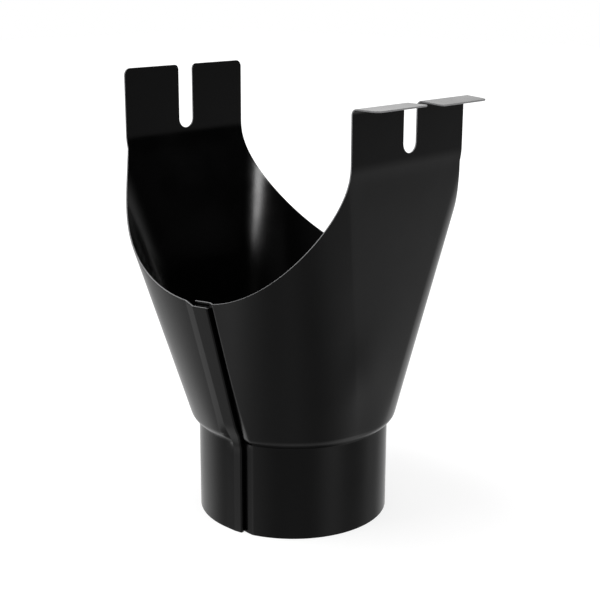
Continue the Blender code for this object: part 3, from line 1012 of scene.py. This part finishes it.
# Each patch: azimuth, elevation and width in degrees, and strength.
FLOOR_PATCHES = (
    (-100, -36, 12, 0.4),
    (-60, -38, 26, 0.7),
    (-28, -28, 12, 0.35),
    (0, -30, 9, 0.3),
    (30, -20, 8, 0.16),
    (45, -50, 13, 0.55),
    (90, -20, 12, 0.27),
    (135, -40, 12, 0.12),
    (138, -78, 11, 0.2),
    (-165, -30, 18, 0.22),
    (-150, -30, 8, 0.3),
)
WALL_PATCHES = (
    (-45, 14, 16, 1.3),
    (5, 4, 9, 0.25),
    (-165, 45, 18, 0.3),
    (-128, 42, 12, 2.2),
    (-59, 42, 14, 2.0),
)


def toward(azimuth, elevation):
    """A direction: azimuth 0 is +Y and 90 is +X, elevation is above the horizon, in degrees."""
    a = math.radians(azimuth)
    e = math.radians(elevation)
    return (math.sin(a) * math.cos(e), math.cos(a) * math.cos(e), math.sin(e))


def patch(view, azimuth, elevation, width):
    """A soft patch of light in one direction, 1 at its middle. Width in degrees."""
    closeness = join("DOT_PRODUCT", view, toward(azimuth, elevation))
    return join("EXPONENT", (closeness - 1.0) / math.radians(width) ** 2)


def light_sum(view, patches, tone):
    """Soft patches of light on an even tone."""
    total = tone
    for azimuth, elevation, width, strength in patches:
        total = patch(view, azimuth, elevation, width) * strength + total
    return total


def studio_world():
    """White to the camera, a patchy room to mirrored rays and an even light to the rest."""
    world = bpy.data.worlds.new("studio")
    world.use_nodes = True
    tree = world.node_tree
    view = Wire(tree, tree.nodes.new("ShaderNodeTexCoord").outputs["Generated"])
    depth = 0.5 - axis_of(view, "Z") / HORIZON_SOFTNESS
    below = join("MAXIMUM", join("MINIMUM", depth, 1.0), 0.0)
    room = light_sum(view, FLOOR_PATCHES, FLOOR_GLOW) * below
    room = join("MAXIMUM", room + light_sum(view, WALL_PATCHES, 0.0), 0.0)
    glossy = light_path(tree, "Is Glossy Ray")
    mirrored = join("MAXIMUM", glossy, light_path(tree, "Is Transmission Ray"))
    tone = between(between(EVEN_LIGHT, room, mirrored), 1.0, light_path(tree, "Is Camera Ray"))
    background = tree.nodes["Background"]
    background.inputs["Color"].default_value = (1.0, 1.0, 1.0, 1.0)
    tree.links.new(tone.socket, background.inputs["Strength"])
    return world


bpy.context.scene.world = studio_world()
print("The room has", len(FLOOR_PATCHES) + len(WALL_PATCHES), "soft patches of light")

# %% Softboxes
def softbox(name, place, aim, width, height, power):
    """A rectangular area lamp that points at a place."""
    lamp = bpy.data.lights.new(name, "AREA")
    lamp.shape = "RECTANGLE"
    lamp.size = width
    lamp.size_y = height
    lamp.energy = power
    holder = bpy.data.objects.new(name, lamp)
    turn = (Vector(aim) - Vector(place)).to_track_quat("-Z", "Y").to_matrix().to_4x4()
    holder.matrix_world = Matrix.Translation(place) @ turn
    bpy.context.scene.collection.objects.link(holder)
    return holder


def placed(azimuth, elevation, distance):
    """A place at a distance from the middle of the outlet."""
    return Vector((0, 0, 0.1)) + Vector(toward(azimuth, elevation)) * distance


on_right = softbox("right softbox", placed(87, 20.5, 1.0), aim=(0, 0, 0.12), width=0.26, height=0.2,
                   power=2.0)
overhead = softbox("top softbox", placed(-150, 70, 1.0), aim=(0, 0, 0.1), width=0.6, height=0.6,
                   power=6)
overhead.visible_glossy = False
print("Softboxes:", [lamp.name for lamp in (on_right, overhead)])

# %% [markdown]
# ## Camera
#
# A product photograph is taken from a little above, with a longish lens, so that upright lines stay
# nearly upright. The place, the aim and the lens came from matching the outlet's edges with those in
# the photograph. They could be set by eye, but then the sizes read off the picture would be wrong too.

# %% The camera
CAMERA_PLACE = Vector((0.342602, -0.383619, 0.232981))
CAMERA_AIM = Vector((-0.002643, 0.003652, 0.092907))
CAMERA_LENS = 74.3
CAMERA_LEAN = 0.004


def place_camera():
    """The camera at the photograph's viewpoint, leaned very slightly to one side as it is there."""
    data = bpy.data.cameras.new("camera")
    data.sensor_width = 36.0
    data.lens = CAMERA_LENS
    data.clip_start = 0.01
    camera = bpy.data.objects.new("camera", data)
    turn = (CAMERA_AIM - CAMERA_PLACE).to_track_quat("-Z", "Y").to_matrix().to_4x4()
    lean = Matrix.Rotation(CAMERA_LEAN, 4, "Z")
    camera.matrix_world = Matrix.Translation(CAMERA_PLACE) @ turn @ lean
    bpy.context.scene.collection.objects.link(camera)
    bpy.context.scene.camera = camera
    return camera


camera = place_camera()
bpy.context.scene.view_settings.view_transform = "Standard"
print("The camera is", round((CAMERA_AIM - CAMERA_PLACE).length, 3), "m from its aim")
